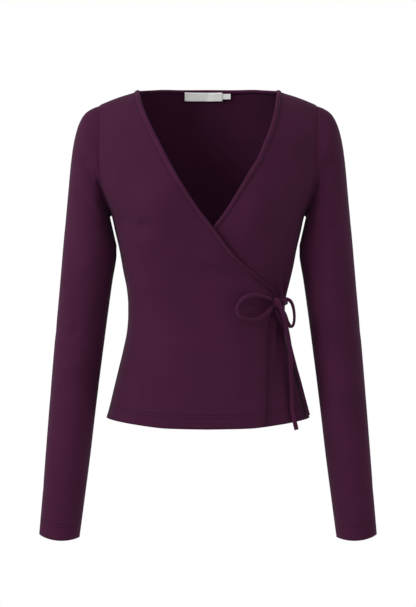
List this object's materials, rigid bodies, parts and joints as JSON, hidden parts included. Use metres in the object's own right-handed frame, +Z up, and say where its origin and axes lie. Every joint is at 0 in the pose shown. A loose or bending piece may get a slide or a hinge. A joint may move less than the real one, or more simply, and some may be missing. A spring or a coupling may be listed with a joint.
{
  "type": "wrap top",
  "caption": "Long-sleeved jersey wrap top with a deep V neck, filled out as worn and tied in a side bow.",
  "frame": {"origin": "on the centre line between the two high shoulder points, at the height where the wearer's shoulders carry the garment", "axes": "+Z up, the front faces -Y, +X is the wearer's left"},
  "size_m": [0.5212, 0.2249, 0.7052],
  "materials": {
    "jersey": "smooth matte jersey knit",
    "binding": "the same jersey, folded and pressed",
    "label": "woven satin, blank"
  },
  "bodies": {
    "root": {"back": "jersey", "front_over": "jersey", "front_under": "jersey", "sleeve_left": "jersey", "sleeve_right": "jersey", "binding_back": "binding", "binding_over": "binding", "binding_under": "binding", "tie_knot": "binding", "tie_lead_side": "binding", "tie_loop_over": "binding", "tie_loop_side": "binding", "tie_tail_over": "binding", "tie_tail_side": "binding", "label_main": "label", "label_size": "label"}
  },
  "joints": []
}
